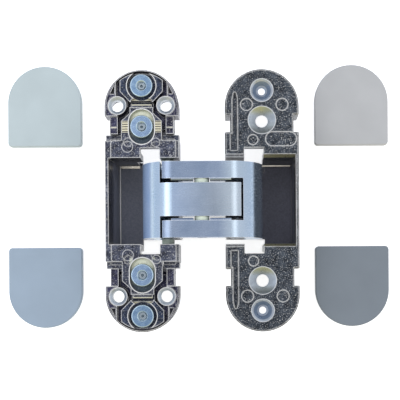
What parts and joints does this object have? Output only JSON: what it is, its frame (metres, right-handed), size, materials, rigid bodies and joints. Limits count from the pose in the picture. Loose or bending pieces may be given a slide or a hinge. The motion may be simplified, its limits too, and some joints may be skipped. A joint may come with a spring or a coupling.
{
  "type": "concealed invisible door hinge",
  "caption": "Adjustable concealed door hinge laid open flat: crossed interleaved arms between two pocketed castings, with its cover caps taken off beside it.",
  "frame": {"origin": "middle of the four frame-side mounting holes, in the plane of the two faces", "axes": "+X across the open hinge from the frame side to the door side, +Y along the hinge length (the door edge), +Z out of the faces"},
  "size_m": [0.1698, 0.1177, 0.0353],
  "materials": {
    "dark_casting": "dark plated zinc casting, satin, fine cast texture",
    "arm_metal": "satin blue-grey plating",
    "screw_zinc": "blue zinc plating, smooth",
    "pin_steel": "ground steel",
    "bearing_plastic": "natural off-white bearing plastic",
    "cap_metal": "satin silver"
  },
  "bodies": {
    "frame_mounts": {"frame_mount_top": "dark_casting", "frame_mount_bottom": "dark_casting", "cover_cap_frame_top": "cap_metal", "cover_cap_frame_bottom": "cap_metal", "cover_cap_door_top": "cap_metal", "cover_cap_door_bottom": "cap_metal"},
    "cross_slides": {"cross_slide_top": "dark_casting", "cross_slide_bottom": "dark_casting"},
    "carriage": {"frame_housing": "dark_casting", "frame_pivot_pin": "pin_steel"},
    "arm_of_frame": {"frame_arm": "arm_metal", "frame_pivot_bush_top": "bearing_plastic", "frame_pivot_bush_bottom": "bearing_plastic", "tongue_guide_pin": "pin_steel"},
    "arm_of_door": {"door_arm": "arm_metal", "door_pivot_bush_top": "bearing_plastic", "door_pivot_bush_bottom": "bearing_plastic", "centre_pin": "pin_steel", "centre_washer_top": "bearing_plastic", "centre_washer_bottom": "bearing_plastic", "prong_guide_pin_top": "pin_steel", "prong_guide_pin_bottom": "pin_steel", "guide_collar_top": "bearing_plastic", "guide_collar_bottom": "bearing_plastic"},
    "door_side": {"door_housing": "dark_casting", "door_pivot_pin": "pin_steel"},
    "lateral_clamp_screw_top": {"lateral_clamp_screw_top": "screw_zinc"},
    "height_clamp_screw_top": {"height_clamp_screw_top": "screw_zinc"},
    "lateral_clamp_screw_bottom": {"lateral_clamp_screw_bottom": "screw_zinc"},
    "height_clamp_screw_bottom": {"height_clamp_screw_bottom": "screw_zinc"}
  },
  "joints": [
    {"name": "lateral_adjust", "type": "slide", "parent": "frame_mounts", "child": "cross_slides", "axis": [1, 0, 0], "range_m": [-0.0008, 0.0008]},
    {"name": "height_adjust", "type": "slide", "parent": "cross_slides", "child": "carriage", "axis": [0, 1, 0], "range_m": [-0.0012, 0.0012]},
    {"name": "fold", "type": "hinge", "parent": "carriage", "child": "arm_of_frame", "pos_m": [0.0103, 0, -0.017], "axis": [0, -1, 0], "range_deg": [0, 75.62]},
    {"name": "arm_cross", "type": "hinge", "parent": "arm_of_frame", "child": "arm_of_door", "pos_m": [0.0252, 0, 0.0034], "axis": [0, -1, 0], "range_deg": [0, 28.78]},
    {"name": "door_turn", "type": "hinge", "parent": "arm_of_door", "child": "door_side", "pos_m": [0.0401, 0, -0.017], "axis": [0, -1, 0], "range_deg": [0, 75.64]},
    {"name": "turn_lateral_clamp_screw_top", "type": "hinge", "parent": "frame_mounts", "child": "lateral_clamp_screw_top", "pos_m": [0, 0.0482, -0.0021], "axis": [0, 0, 1], "range_deg": [0, 360]},
    {"name": "turn_height_clamp_screw_top", "type": "hinge", "parent": "cross_slides", "child": "height_clamp_screw_top", "pos_m": [0, 0.0311, -0.0021], "axis": [0, 0, 1], "range_deg": [0, 360]},
    {"name": "turn_lateral_clamp_screw_bottom", "type": "hinge", "parent": "frame_mounts", "child": "lateral_clamp_screw_bottom", "pos_m": [0, -0.0482, -0.0021], "axis": [0, 0, 1], "range_deg": [0, 360]},
    {"name": "turn_height_clamp_screw_bottom", "type": "hinge", "parent": "cross_slides", "child": "height_clamp_screw_bottom", "pos_m": [0, -0.0311, -0.0021], "axis": [0, 0, 1], "range_deg": [0, 360]}
  ],
  "couplings": [
    {"joint": "arm_cross", "follows": "fold", "ratio": 0.38037},
    {"joint": "door_turn", "follows": "fold", "ratio": 1}
  ]
}
